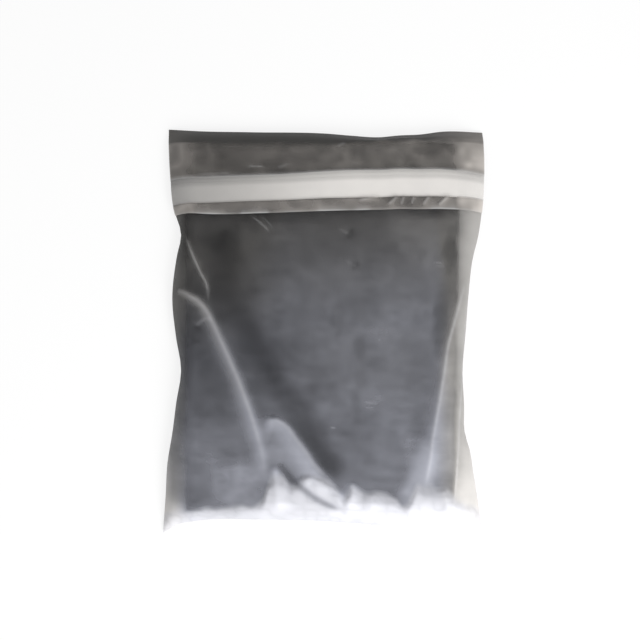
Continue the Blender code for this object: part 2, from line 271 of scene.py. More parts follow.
# Shape of the film: how it climbs from its edges, is held flat at the flap, and leaves the goods
EDGE_POWER = 6
FRONT_CLIMB = 2.2
BACK_CLIMB = 3
WAVE_START = 0.6
FLAP_HOLD = 10 * MM
LEAVING_RISE = 2.4 * MM
LEAVING_REACH = 10 * MM
LIFT_SHARES = (0.25, 1, 1)  # of an offset, across, along and up
STRIP_DROP = 0.35 * MM  # of a strip at its upper edge
STRIP_DROP_REACH = 3 * MM
# Shares of a crease's line over which it fades in and out
RIDGE_START = 0.15
RIDGE_END = 0.25
# Creases of the flap: reach to the left and to the right in millimetres, sharpness
FLAP_CREASE_SHAPE = ((2.0, 2.0), (2.5, 2.5), 1.4)
# Shape of the goods
GOODS_CROWN = 0.05
CORNER_POWER = 8

# Uneven noises: strength, size of the features across the bag, seed, slant, how many times
# shorter they are along it (0 for no change along it), and for creased ones the power that
# narrows their ridges
COARSE_CRINKLE = (0.3 * MM, 19 * MM, 1)
FINE_CRINKLE = (0.12 * MM, 8 * MM, 2)
FLAP_CRINKLE = (0.4 * MM, 12 * MM, 5, 0, 1.6)
LEAVING_NOISE = (1.5 * MM, 7 * MM, 21)
OUTLINE_NOISE = (1.5 * MM, 11 * MM, 31)
BAND_NOISE = (3 * MM, 9 * MM, 17)
PATCH_NOISE_X = (2 * MM, 8 * MM, 32)
PATCH_NOISE_Y = (2 * MM, 8 * MM, 33)
BROAD_TONE = (0.2, 26 * MM, 11, 0, 1.3)
STREAKED_TONE = (0.14, 9 * MM, 12, 0, 2)
PATCHY_TONE = (1.5, 16 * MM, 15, 0.4)
GRAINY_TONE = (0.06, 4 * MM, 16, 0, 1.5)
THIN_WRINKLES = (0.18, 14 * MM, 13, 0.3, 2.5, 10)
WRINKLED_PARTS = (2, 18 * MM, 14)
# Painted shade in the crumples of the white, coarse and fine
WHITE_CRINKLE = (0.14, 9 * MM, 22, 0, 1.5, 3)
WHITE_FINE = (0.12, 5 * MM, 23, 0.6, 1, 5)
FLAP_PATCHES = (0.5, 14 * MM, 7, 0, 1.2)
FLAP_MARKS = (0.3, 11 * MM, 9, 0, 1, 2)
EDGE_NOISE = (1.1, 10 * MM, 43, 0, 0)
# The same without a strength
FLAP_DRIFT = (9 * MM, 41, 0, 0.7)
FLAP_GRAIN = (6 * MM, 44)
NOISE_CELLS = 128  # a side, before a noise repeats
RIDGE_ROUNDING = 0.002

# Tone of the film on the goods: at the left, and what comes on to the right and to the bottom; the
# left is painted shade and the rest painted light
LEFT_CONTACT = 0.04
RIGHT_CONTACT = 0.2
RIGHT_CURVE = 0.8
BOTTOM_CONTACT = 0.34
BOTTOM_CURVE = 1.5
PATCHY_DEPTH = 0.16
PATCH_POWER = 2.2
# Painted shade in a band along the tight line, its reach in millimetres, and painted light on a rim at
# its left
BAND_SHADE = 0.33
BAND_REACH = 13
BAND_POWER = 3
RIM_LIGHT = 0.08
RIM_INSET = 2 * MM
RIM_WIDTH = 5 * MM
# Tone of the film in the air at the bottom, far from the goods, and past the mouth
BOTTOM_TONE = 0.96
FAR_TONE = 0.84
FAR_SHARE = 0.6
FAR_OUT = (9 * MM, 9 * MM)
MOUTH_EDGE = 2 * MM
PAST_MOUTH_SHARE = 0.45
PAST_MOUTH_LEAST = 0.01
# How soft the goods' outline shows and how far inside it that starts, in millimetres, at the
# left and at the right
OUTLINE_SOFTNESS = (15, 5)
OUTLINE_INSET = (2, 4)
MILKY_LIFT = 3 * MM  # off the goods, where the film is two thirds milky
# Where parts start or end, as a share of the width or the length, and the span they fade over
RIM_ACROSS = (0.3, 0.2)
RIM_ALONG = (0.55, 0.15)
AIR_BOTTOM = (0.1, 0.05)
FAR_ALONG = (0.5, 0.3)
CRISP_BOTTOM = (0.2, 0.15)
WARM_CORNERS = (0.4, 0.06)
WARM_MARGINS = (0.03, 0.1)
WARM_RIGHT = (0.84, 0.06)
WARM_RIGHT_ALONG = (0.05, 0.06)
WARM_LEFT = (0.4, 0.2)
WARM_LEFT_ALONG = (0.42, 0.2)
WARM_UPWARDS = (0.5, 0.4)
WARM_FOLDS = (0.25, 0.15)
BACK_RIGHT = (0.9, 0.4)
# How much these parts add to the warm tint
RIGHT_WARMTH = 0.8
LEFT_WARMTH = 0.6
FOLD_WARMTH = 0.4
# White of the film that has left the goods, milky and with painted light towards the bottom fold: how
# bright, over which way, and the painted shade of its groove
LEAVING_EDGE = (-2.5 * MM, 7 * MM)
LEFT_BRIGHT = 0.62
LOWER_BRIGHT = 0.16
LOWER_REACH = 16 * MM
UPPER_WHITE = 0.83
LOWER_WHITE = 0.13
WHITE_REACH = 18 * MM
WHITE_TINT = (0.98, 0.98, 1.03)
GROOVE_WIDTH = 2.8 * MM
GROOVE_ENDS = 0.2
GROOVE_SHADE_ON_WHITE = 0.6
GROOVE_SHADE_ON_FILM = 0.2
GLINT_ENDS = 0.25
# The back panel away from the goods and on them: tone factor and cover
BACK_NEAR = 9 * MM
BACK_TONE = (0.8, 0.05)
BACK_COVER = (0.93, 1)
# The flap: its tones, where it is even, where it is darker, and where it is lighter below the
# strips, as (share, place, width) across the bag
FLAP_REST = 1 * MM  # how far it lies off the skin where it counts as touching
FLAP_TONE = 0.84
FLAP_TINT = (1.04, 1.0, 0.97)
EVEN_SHARE = 0.7
EVEN_RIGHT = (0.84, 0.06)
GRAIN_STRENGTH = (0.1, 0.24)
UPPER_DARKENS = 0.12
UPPER_PART = (0.9, 0.03)
UPPER_LEFT_END = (0.1, 0.1)
UPPER_RIGHT_END = (0.62, 0.1)
LOWER_TONE = 0.65
LOWER_PEAKS = ((0.8, 0.43, 0.1), (-0.2, 0.7, 0.1))
LOWER_RIGHT_END = (0.97, 0.1)
# Where the goods show narrower through the flap, and by how many millimetres
NARROWS_RIGHT = 5
NARROWS_RIGHT_FROM = (0.8, 0.1)
NARROWS_RIGHT_ALONG = (0.87, 0.1)
NARROWS_LEFT = 7
NARROWS_LEFT_TO = (0.25, 0.15)
DRIFT_ACROSS = 1.5
DRIFT_SHARE = 0.01
# How much lighter the flap is beyond the goods, over the strips, and on its creases
BEYOND_LEFT = 0.7
BEYOND_LEFT_TO = (0.19, 0.15)
BEYOND_RIGHT = 0.25
BEYOND_RIGHT_FROM = (0.9, 0.05)
OVER_STRIP_TONE = 0.7
OVER_STRIP_CLEARS = 0.75
CREASE_GLOW = 0.4
CREASE_GLOW_WIDTH = 0.9 * MM
CREASE_SHADE = 0.8
CREASE_SHADE_WIDTH = 3 * MM
CREASE_ENDS = 0.2
# The dark band behind the mouth: tone, what its ends add, where its edge is crisp, and how far
# the edge is moved and softened elsewhere, in millimetres
TOP_TONE = 0.035
TOP_TINT = (1.06, 1.0, 0.93)
TOP_LEFT_ADDS = 0.05
TOP_LEFT_TO = (0.1, 0.1)
TOP_RIGHT_ADDS = 0.2
TOP_RIGHT_FROM = (0.8, 0.2)
CRISP_LEFT = (0.14, 0.05)
CRISP_RIGHT = (0.85, 0.05)
TOP_MOVES = 3
TOP_DRIFTS = 2
TOP_CRISP = 1.5
TOP_SOFTENS = 5
# Shadow above the liner, and light on the free edge of the flap and on the liner's upper edge
LINER_SHADOW = 0.4
LINER_SHADOW_REACH = 6 * MM
LINER_SHADOW_FROM = (0.2, 0.3)
EDGE_LEAST = 0.3
EDGE_LEFT_ADDS = 0.4
EDGE_LEFT_TO = (0.6, 0.1)
EDGE_START = (0.05, 0.05)
EDGE_END = (0.95, 0.04)
EDGE_WIDTH = 1.2 * MM
EDGE_GLOW = 0.4
EDGE_GLOW_WIDTH = 3 * MM
LINER_EDGE_LIGHT = 0.5
LINER_EDGE_WIDTH = 0.8 * MM
CAUGHT_TONE = 0.62
# Cover: on the goods, added where it is milky, where it is white, and where it is closed
LEAST_COVER = 0.25
FULLER_COVER = 0.62
WHITE_COVER = 0.88
CLOSED_COVER = 0.85
# Tone of the strips at the left, where painted shade darkens them, what painted light brings on to the
# right, and up to which share of the width
LINER_TONE = (0.29, 0.45)
ADHESIVE_TONE = (0.42, 0.5)
STRIP_LIGHTENS = 0.64
STRIP_EDGE = 0.004  # share of the length over which a strip's edge shows through the flap
PAST_DARKENS = 0.16  # of the liner, past the adhesive
ADHESIVE_LEAST = 0.8  # of its tone, at its upper edge
ADHESIVE_SPAN = 0.014  # share of the length over which it gets there
CLOTH_TONES = ((0.1, (0.011, 0.011, 0.012)), (0.5, (0.021, 0.021, 0.023)))

# Materials: scale, least and most of the soft mottling; scale and detail of the fine noises;
# strength and distance of the bumps
FILM_MOTTLE = (40, 0.85, 1.15)
STRIP_MOTTLE = (60, 0.95, 1.05)
FILM_GRAIN = (900, 3)
STRIP_GRAIN = (500, 4)
KNIT = (1600, 2)
WORN = (60, 3)
FILM_BUMP = (0.03, 0.1 * MM)
STRIP_BUMP = (0.1, 0.1 * MM)
KNIT_BUMP = (0.2, 0.3 * MM)
FILM_ROUGHNESS = 0.5
PAPER_ROUGHNESS = 0.5
GLUE_ROUGHNESS = 0.35
FLOOR_ROUGHNESS = 0.9
CLOTH_SPECULAR = 0.1

# Floor, surround and lamp
WHITE = (1, 1, 1, 1)
FLOOR_SIZE = 20
FLOOR_TONE = 0.9
FLOOR_GLOW = 1.08
FLOOR_GLOW_SHARE = 0.75
BACKDROP_LIGHT = 0.48
BACKDROP_SEEN = 1.0
LAMP_PLACE = (0.45, -0.65, 0.7)
LAMP_SIZE = 0.5
LAMP_POWER = 8.2

# Camera over the bag
CAMERA_PLACE = Vector((-2.9, -47, 1000)) * MM
CAMERA_TILT = 3.18
CAMERA_ROLL = 0.435
LENS = 70.0

# Mesh density
COLUMNS = 220
FRONT_ROWS = 300
BACK_ROWS = 50
FLAP_ROWS = 70
STRIP_ROWS = 26
GOODS_ROWS = 120
EDGE_CROWDING = 0.3
LINE_FINENESS = 12  # steps along a line for each of its knots
LEAST_DISTANCE = 0.01 * MM
STEP = 1e-4

# Sizes that follow
TUCK = GOODS_THICKNESS / 2
GOODS_WIDTH = BAG_WIDTH - SIDE_ROOM
GOODS_BOTTOM = TUCK + BOTTOM_ROOM
GOODS_TOP = BAG_LENGTH - TOP_DIP - TOP_ROOM
MOUTH = 1 - MOUTH_DROP / BAG_LENGTH
FLAP_EDGE = 1 - FLAP_LENGTH / BAG_LENGTH
LINER_LOW = FLAP_EDGE + LINER_MARGIN / BAG_LENGTH
LINER_HIGH = LINER_LOW + LINER_WIDTH / BAG_LENGTH
ADHESIVE_HIGH = LINER_LOW + ADHESIVE_WIDTH / BAG_LENGTH


def through(knots, at):
    """Smooth curve through (position, value) knots."""
    place, value = np.array(knots, float).T
    slope = np.gradient(value, place)
    i = np.clip(np.searchsorted(place, at, side="right") - 1, 0, len(place) - 2)
    span = place[i + 1] - place[i]
    f = (at - place[i]) / span
    start = value[i] * (1 + 2 * f) + slope[i] * span * f
    end = value[i + 1] * (3 - 2 * f) - slope[i + 1] * span * (1 - f)
    return start * (1 - f) ** 2 + end * f**2


def ease(share):
    """From 0 to 1 with a smooth start and a smooth arrival."""
    share = np.clip(share, 0, 1)
    return share * share * (3 - 2 * share)


def rising(value, start, span):
    """0 up to a start, and 1 from a span past it on."""
    return ease((value - start) / span)


def falling(value, end, span):
    """1 up to a span before an end, and 0 from the end on."""
    return ease((end - value) / span)


def blend(start, end, share):
    """A share of the way from a start to an end."""
    return start + (end - start) * share


def bell(distance, width, power=2):
    """1 at no distance, falling off round a width."""
    return np.exp(-((distance / width) ** power))


def amid(place, share):
    """1 along a line, fading in and out over a share of it at either end."""
    return ease(np.minimum(place, 1 - place) / share)


def climb(distance, reach, power):
    """0 at an edge, 1 from the reach on, rounded off where it arrives."""
    return 1 - (1 - np.clip(distance / reach, 0, 1)) ** power


def crowded(count):
    """Shares from 0 to 1, closer together at both ends."""
    even = np.linspace(0, 1, count + 1)
    return even - EDGE_CROWDING * np.sin(2 * np.pi * even) / (2 * np.pi)


def noise(x, y, size, seed, slant=0, squeeze=1):
    """Smooth noise from -1 to 1 with features of about a size."""
    x, y = x + slant * y, squeeze * y
    table = np.random.default_rng(seed).uniform(-1, 1, (NOISE_CELLS, NOISE_CELLS))
    column, row = np.floor(x / size), np.floor(y / size)
    f, g = ease(x / size - column), ease(y / size - row)
    i, j = column.astype(int), row.astype(int)

    def corner(di, dj):
        return table[(i + di) % NOISE_CELLS, (j + dj) % NOISE_CELLS]

    low = corner(0, 0) * (1 - f) + corner(1, 0) * f
    high = corner(0, 1) * (1 - f) + corner(1, 1) * f
    return low * (1 - g) + high * g


def crinkle(x, y, size, seed, slant=0, squeeze=1, power=1):
    """Creased noise from 0 to 1, sharp along its ridges."""
    return (1 - np.sqrt(noise(x, y, size, seed, slant, squeeze) ** 2 + RIDGE_ROUNDING)) ** power


def varied(x, y, strength, *field):
    """Noise of a strength."""
    return strength * noise(x, y, *field)


def creased(x, y, strength, *field):
    """Creased noise of a strength."""
    return strength * crinkle(x, y, *field)


def away_from(x, y, place):
    """Steps across and along the bag from a place that is given in shares."""
    return x - place[0] * BAG_WIDTH / 2, y - place[1] * BAG_LENGTH


def goods_side(sign, v):
    """x of the goods' left (-1) or right (+1) side."""
    return GOODS_SHIFT + sign * (GOODS_WIDTH + GOODS_TAPER * (v - 0.5)) / 2


def weld_side(sign, v):
    """x of the left (-1) or right (+1) weld, full width less what the goods draw in."""
    waist = through(RIGHT_WAIST if sign > 0 else LEFT_WAIST, v)
    room = BAG_WIDTH / 2 - WAIST_GAP - sign * goods_side(sign, v)
    return sign * (BAG_WIDTH / 2 - waist * room)


def fold_lines(u):
    """y of the bottom fold and of the top fold, across the width."""
    return TUCK * through(BOTTOM_TUCK, u), BAG_LENGTH - TOP_DIP * through(TOP_WAVE, u)


def goods_height(x, y):
    """Top of the goods, away from their rounded edges, with long low waves."""
    share = y / BAG_LENGTH
    thickness = blend(GOODS_THICKNESS, GOODS_TOP_THICKNESS, rising(share, 0.5, 0.5))
    across = 2 * x / BAG_WIDTH
    swell = np.sin(5 * across + 7 * share) + np.sin(3 * across - 11 * share + 1)
    return GOODS_BASE + thickness * (1 - GOODS_CROWN * across**2) + WAVE * swell


def rounded(distance):
    """Quarter circle from 0 at an edge of the goods to 1 past its shoulder."""
    return np.sqrt(1 - (1 - np.clip(distance / SHOULDER, 0, 1)) ** 2)


def edge_height(u, v):
    """Height of the bag's edges, carried across between them."""
    along_weld = 1 - (2 * v - 1) ** EDGE_POWER
    along_fold = 1 - (2 * u - 1) ** EDGE_POWER
    weld = (WELD_SHARE * GOODS_THICKNESS - CORNER_LIFT) * along_weld
    bottom = (FOLD_SHARE * GOODS_THICKNESS - CORNER_LIFT) * along_fold
    top = (TOP_FOLD_LIFT - CORNER_LIFT) * along_fold
    return BACK_LEVEL + CORNER_LIFT + weld + (1 - v) * bottom + v * top


def waved(u, v):
    """How far a point's line across the bag runs above a straight one, as a share of the length."""
    lines = (
        (FLAP_EDGE, FLAP_WAVE), (LINER_LOW, LINER_LOW_WAVE), (LINER_HIGH, LINER_HIGH_WAVE),
        (MOUTH, MOUTH_WAVE),
    )
    wave = through(FLAP_WAVE, u)
    for (low, below), (high, above) in zip(lines, lines[1:]):
        wave = wave + (through(above, u) - through(below, u)) * np.clip((v - low) / (high - low), 0, 1)
    held = rising(v, WAVE_START, FLAP_EDGE - WAVE_START) * (1 - rising(v, MOUTH, 1 - MOUTH))
    return held * wave * MM / BAG_LENGTH


def placed(u, v):
    """A point in plan, the edges' height, and how far the front and the back have left them."""
    v = v + waved(u, v)
    left, right = weld_side(-1, v), weld_side(1, v)
    bottom, top = fold_lines(u)
    x = left + u * (right - left)
    y = bottom + v * (top - bottom)
    from_edges = (
        (x - left, goods_side(-1, v) - left + SHOULDER),
        (right - x, right - goods_side(1, v) + SHOULDER),
        (y - bottom, GOODS_BOTTOM - bottom + SHOULDER),
        (top - y, top - GOODS_TOP + SHOULDER),
    )
    front = np.prod([climb(distance, reach, FRONT_CLIMB) for distance, reach in from_edges], axis=0)
    back = np.prod([climb(distance, reach, BACK_CLIMB) for distance, reach in from_edges], axis=0)
    return x, y, edge_height(u, v), front, back


def skin(u, v):
    """The film lying smooth over the goods."""
    x, y, edge, front, _ = placed(u, v)
    return np.stack([x, y, blend(edge, goods_height(x, y) + SKIN_LEVEL, front)], axis=-1)


def back_panel(u, v):
    """The back: flat on the floor, and up to the edges round the goods."""
    x, y, edge, _, back = placed(u, v)
    return np.stack([x, y, blend(edge, BACK_LEVEL, back)], axis=-1)


def outward(u, v):
    """Direction out of the skin."""
    low_u, high_u = np.clip(u - STEP, 0, 1), np.clip(u + STEP, 0, 1)
    low_v, high_v = np.clip(v - STEP, 0, 1), np.clip(v + STEP, 0, 1)
    normal = np.cross(skin(high_u, v) - skin(low_u, v), skin(u, high_v) - skin(u, low_v))
    return normal / np.linalg.norm(normal, axis=-1, keepdims=True)


def along_line(x, y, line):
    """Distance to a smooth line, side of it (1 left of its way, -1 right of it), place on it."""
    knots = np.linspace(0, 1, len(line))
    along = np.linspace(0, 1, LINE_FINENESS * len(line))
    share_x, share_y = np.array(line).T
    path_x = through(tuple(zip(knots, share_x)), along) * BAG_WIDTH / 2
    path_y = through(tuple(zip(knots, share_y)), along) * BAG_LENGTH
    nearest = np.full(x.shape, np.inf)
    side = np.zeros(x.shape)
    place = np.zeros(x.shape)
    for k in range(len(along) - 1):
        step_x, step_y = path_x[k + 1] - path_x[k], path_y[k + 1] - path_y[k]
        off_x, off_y = x - path_x[k], y - path_y[k]
        f = np.clip((off_x * step_x + off_y * step_y) / (step_x**2 + step_y**2), 0, 1)
        distance = np.hypot(off_x - f * step_x, off_y - f * step_y)
        closer = distance < nearest
        nearest = np.where(closer, distance, nearest)
        turned = (step_x * off_y - step_y * off_x) / np.hypot(step_x, step_y)
        side = np.where(closer, turned / np.maximum(distance, LEAST_DISTANCE), side)
        place = np.where(closer, along[k] + f * (along[1] - along[0]), place)
    return nearest, np.clip(side, -1, 1), place


def ridge(x, y, rise, reach_left, reach_right, sharpness, line, round_start=False):
    """Height of one crease, fading out towards both ends of its line."""
    nearest, side, place = along_line(x, y, line)
    reach = blend(blend(*reach_right, place), blend(*reach_left, place), (1 + side) / 2) * MM
    fade = ease((1 - place) / RIDGE_END)
    if not round_start:
        fade = fade * ease(place / RIDGE_START)
    return rise * MM * fade * bell(nearest, reach, sharpness)


def below_goods(x, y):
    """Distance below the line where the film leaves the goods towards the bottom fold."""
    line = through(LEAVES_GOODS, np.clip(2 * x / BAG_WIDTH, -1, 1)) * BAG_LENGTH
    return line + varied(x, y, *LEAVING_NOISE) - y


def pulled_down(x, y, share, width, line):
    """What a line that is pulled tight leaves of the film's rise."""
    return 1 - share * bell(along_line(x, y, line)[0], width)


def creasing(x, y):
    """How far the front panel stands off the goods through its creases."""
    rise = np.zeros(x.shape)
    for height, reach, place in SWELLS:
        rise += height * MM * bell(np.hypot(*away_from(x, y, place)), reach * MM)
    rise += creased(x, y, *COARSE_CRINKLE) + creased(x, y, *FINE_CRINKLE)
    for index, crease in enumerate(CREASES):
        rise += ridge(x, y, *crease, index in ROUND_STARTS)
    rise *= pulled_down(x, y, *TIGHT_BAND)
    rise += LEAVING_RISE * ease(below_goods(x, y) / LEAVING_REACH)
    return rise * pulled_down(x, y, *TIGHT_GROOVE)


def front_lift(u, v):
    """How far the front panel stands off the smooth skin, less near the flap and the edges."""
    x, y, _, front, _ = placed(u, v)
    below_flap = ease((FLAP_EDGE - v) * BAG_LENGTH / FLAP_HOLD)
    return below_flap * front * creasing(x, y)


def front_panel(u, v):
    """The front with its creases, which end short of the flap and the edges."""
    points = skin(u, v)
    points[..., 2] += front_lift(u, v)
    return points


def lifted(u, v, offset):
    """Skin moved out by an offset, as a sheet that lies on it within the bag's sides."""
    return skin(u, v) + outward(u, v) * offset * LIFT_SHARES


def flap(u, v):
    """The flap: it leaves the top fold and clears the mouth and the strips."""
    free = ease((1 - v) / (1 - MOUTH))
    points = lifted(u, v, FLAP_LEVEL * free[..., None])
    x, y = points[..., 0], points[..., 1]
    for strength, line in FLAP_CREASES:
        points[..., 2] += ridge(x, y, strength, *FLAP_CREASE_SHAPE, line)
    points[..., 2] += free * creased(x, y, *FLAP_CRINKLE)
    return points


def outside_goods(x, y):
    """Distance outside the goods' outline, negative inside it."""
    v = y / BAG_LENGTH
    from_side = np.maximum(goods_side(-1, v) - x, x - goods_side(1, v))
    from_end = np.maximum(GOODS_BOTTOM - y, y - GOODS_TOP)
    both = np.hypot(np.maximum(from_side, 0), np.maximum(from_end, 0))
    return np.where(both > 0, both, np.maximum(from_side, from_end))


def patched(x, y, patches):
    """1 away from soft patches, less the share of each within it."""
    left = np.ones(x.shape)
    for share, (wide, high), place in patches:
        off_x, off_y = away_from(x, y, place)
        off = (off_x / (wide * MM)) ** 2 + (off_y / (high * MM)) ** 2
        left *= 1 - share * np.exp(-(off**PATCH_POWER))
    return left


def contact_tone(x, y, across, along, outside):
    """Tone of the film where it lies on the goods, with painted light to the right and the bottom,
    painted shade along the tight line and in patches, and painted light on a rim.
    """
    to_bottom = BOTTOM_CONTACT * (1 - along) ** BOTTOM_CURVE
    tone = LEFT_CONTACT + RIGHT_CONTACT * across**RIGHT_CURVE + to_bottom
    tone *= 1 + varied(x, y, *BROAD_TONE) + varied(x, y, *STREAKED_TONE)
    tone *= 1 - PATCHY_DEPTH / 2 + PATCHY_DEPTH * ease(0.5 + varied(x, y, *PATCHY_TONE))
    tone *= 1 + varied(x, y, *GRAINY_TONE)
    tone *= 1 + creased(x, y, *THIN_WRINKLES) * ease(varied(x, y, *WRINKLED_PARTS))
    # Painted shade along the tight line, and painted light on a rim by the goods' left side
    nearest, side, _ = along_line(x, y, TIGHT_BAND[-1])
    nearest = np.maximum(nearest + varied(x, y, *BAND_NOISE), 0)
    tone *= 1 - BAND_SHADE * bell(nearest, (BAND_REACH - side) * MM, BAND_POWER)
    rim = bell(outside + RIM_INSET, RIM_WIDTH) * falling(across, *RIM_ACROSS)
    tone += RIM_LIGHT * rim * falling(along, *RIM_ALONG)
    # Patches of painted shade and painted light, their edges wavered by noise
    moved_x, moved_y = x + varied(x, y, *PATCH_NOISE_X), y + varied(x, y, *PATCH_NOISE_Y)
    return tone * patched(moved_x, moved_y, SHADED_AND_LIT_PATCHES)


def air_tone(across, along, outside):
    """Tone of the film in the air beside the goods, with painted shade at the left and painted light
    at the right.
    """
    tone = blend(through(LEFT_TONE, along), through(RIGHT_TONE, along), ease(across))
    tone = blend(tone, BOTTOM_TONE, falling(along, *AIR_BOTTOM))
    far = rising(outside, *FAR_OUT) * falling(along, *FAR_ALONG)
    tone = blend(tone, FAR_TONE, FAR_SHARE * far)
    past_mouth = ease((along - MOUTH) * BAG_LENGTH / MOUTH_EDGE)
    return blend(tone, PAST_MOUTH_SHARE * tone + PAST_MOUTH_LEAST, past_mouth)


def warmth(across, along, beside, folded, at_flap):
    """How warm the tint is, from 0 to 1: in the margins, at the flap, and towards the top."""
    corner = rising(np.abs(across - 0.5), *WARM_CORNERS)
    margin = beside * np.maximum(rising(along, *WARM_MARGINS), corner)
    right = RIGHT_WARMTH * rising(across, *WARM_RIGHT) * rising(along, *WARM_RIGHT_ALONG)
    upper_left = LEFT_WARMTH * falling(across, *WARM_LEFT) * rising(along, *WARM_LEFT_ALONG)
    warm = margin + at_flap + right + rising(along, *WARM_UPWARDS) + upper_left
    return np.clip(warm + FOLD_WARMTH * folded * rising(along, *WARM_FOLDS), 0, 1)


def looks(x, y, lift, at_flap=0):
    """Colour and cover of a film that stands off the goods by a lift."""
    across, along = np.clip(0.5 + x / BAG_WIDTH, 0, 1), np.clip(y / BAG_LENGTH, 0, 1)
    outside = outside_goods(x, y) + varied(x, y, *OUTLINE_NOISE)
    softness = blend(*OUTLINE_SOFTNESS, across) * (1 - falling(along, *CRISP_BOTTOM) / 2) * MM
    inset = blend(*OUTLINE_INSET, across) * MM
    beside = 1 - np.exp(-np.maximum(0, outside + inset) / softness)
    folded = 1 - np.exp(-lift / MILKY_LIFT)
    tone = contact_tone(x, y, across, along, outside)
    tone = blend(tone, through(FOLD_TONE, along), folded)
    tone = blend(tone, air_tone(across, along, outside), beside)
    warm = warmth(across, along, beside, folded, at_flap)[..., None]
    colour = tone[..., None] * blend(np.array(COOL), np.array(WARM), warm)
    return colour, LEAST_COVER + FULLER_COVER * (1 - (1 - folded) * (1 - beside))


def glints(x, y, lines):
    """Light caught by ridges and fine wrinkles."""
    bright = np.zeros(x.shape)
    for strength, width, line in lines:
        nearest, _, place = along_line(x, y, line)
        bright = np.maximum(bright, strength * amid(place, GLINT_ENDS) * bell(nearest, width * MM))
    return bright


def front_looks(u, v):
    """The front panel: milky white with painted light where it has left the goods, painted highlights
    on its ridges, and painted shade in its groove.
    """
    x, y, _, _, _ = placed(u, v)
    colour, cover = looks(x, y, front_lift(u, v))
    below = below_goods(x, y)
    lower = ease(below / LOWER_REACH)
    bright = (LEFT_BRIGHT + LOWER_BRIGHT * lower) * rising(below, *LEAVING_EDGE)
    # Painted shade along the tight groove, dimming the white and the film
    nearest, _, place = along_line(x, y, TIGHT_GROOVE[-1])
    groove = amid(place, GROOVE_ENDS) * bell(nearest, GROOVE_WIDTH)
    bright *= 1 - GROOVE_SHADE_ON_WHITE * groove
    colour *= 1 - GROOVE_SHADE_ON_FILM * groove[..., None]
    shines = tuple((strength, width, CREASES[index][-1]) for index, strength, width in SHINES)
    bright = np.maximum(bright, glints(x, y, shines + GLINTS))
    white = UPPER_WHITE + LOWER_WHITE * ease(below / WHITE_REACH)
    # Painted shade of the crumples in the white
    white -= creased(x, y, *WHITE_CRINKLE)
    white -= creased(x, y, *WHITE_FINE) * (1 - lower)
    white = (white * patched(x, y, SHADED_WHITE_PATCHES))[..., None] * np.array(WHITE_TINT)
    return blend(colour, white, bright[..., None]), blend(cover, WHITE_COVER, bright)


def back_looks(u, v):
    """The back panel, darker and closed where the goods lie on it."""
    x, y, _, _, _ = placed(u, v)
    colour, _ = looks(x, y, 0)
    near = np.exp(-np.maximum(outside_goods(x, y), 0) / BACK_NEAR) * falling(u, *BACK_RIGHT)
    return blend(*BACK_TONE, near[..., None]) * colour, blend(*BACK_COVER, near)


def flap_patches(u, v, x, y):
    """How much lighter or darker the flap is in places, and the lighter part below the strips."""
    even = 1 - EVEN_SHARE * rising(u, *EVEN_RIGHT)
    patches = FLAP_TONE + u * even * varied(x, y, *FLAP_PATCHES)
    patches += even * creased(x, y, *FLAP_MARKS)
    darker = rising(v, *UPPER_PART) * falling(u, *UPPER_RIGHT_END) * rising(u, *UPPER_LEFT_END)
    patches -= UPPER_DARKENS * darker
    patches += blend(*GRAIN_STRENGTH, u) * noise(x, y, *FLAP_GRAIN)
    lighter = LOWER_TONE + sum(
        share * bell(u - place, width) for share, place, width in LOWER_PEAKS
    )
    return patches + lighter * falling(v, LINER_LOW, STRIP_EDGE) * falling(u, *LOWER_RIGHT_END)


def dark_top(u, v, drift):
    """The dark band behind the mouth: its tone, and how far it shows."""
    crisp = falling(u, *CRISP_LEFT) + rising(u, *CRISP_RIGHT)
    spread = (1 - crisp) * (TOP_MOVES + TOP_DRIFTS * drift)
    past_mouth = (v - MOUTH) * BAG_LENGTH / MM
    at_left = TOP_LEFT_ADDS * falling(u, *TOP_LEFT_TO)
    at_right = TOP_RIGHT_ADDS * rising(u, *TOP_RIGHT_FROM)
    shown = ease((past_mouth + spread) / (TOP_CRISP + TOP_SOFTENS * (1 - crisp)))
    return TOP_TONE + at_left + at_right, shown


def edge_light(u, v, x, y):
    """Light on the flap's free edge, on the liner's upper edge and on the fine wrinkles."""
    inside, above = (v - FLAP_EDGE) * BAG_LENGTH, (v - LINER_HIGH) * BAG_LENGTH
    caught = ease(0.5 + varied(x, y, *EDGE_NOISE) + EDGE_LEFT_ADDS * falling(u, *EDGE_LEFT_TO))
    caught *= rising(u, *EDGE_START) * falling(u, *EDGE_END)
    bright = (EDGE_LEAST + (1 - EDGE_LEAST) * caught) * bell(inside, EDGE_WIDTH)
    bright = np.maximum(bright, EDGE_GLOW * caught * bell(inside, EDGE_GLOW_WIDTH))
    bright = np.maximum(bright, LINER_EDGE_LIGHT * bell(above, LINER_EDGE_WIDTH))
    return np.maximum(bright, glints(x, y, FLAP_GLINTS))


def crease_light(v, x, y):
    """Light on the flap's slanting creases, and what their shaded sides leave of its colour."""
    bright, left = np.zeros(x.shape), np.ones(x.shape)
    for strength, line in FLAP_CREASES:
        nearest, side, place = along_line(x, y, line)
        ends = amid(place, CREASE_ENDS) * falling(v, LINER_LOW, STRIP_EDGE)
        glow = ends * bell(nearest, CREASE_GLOW_WIDTH)
        bright = np.maximum(bright, CREASE_GLOW * glow)
        shade = ends * np.where(side < 0, bell(nearest, CREASE_SHADE_WIDTH), 0) * (1 - glow)
        left *= 1 - CREASE_SHADE * strength * shade
    return bright, left


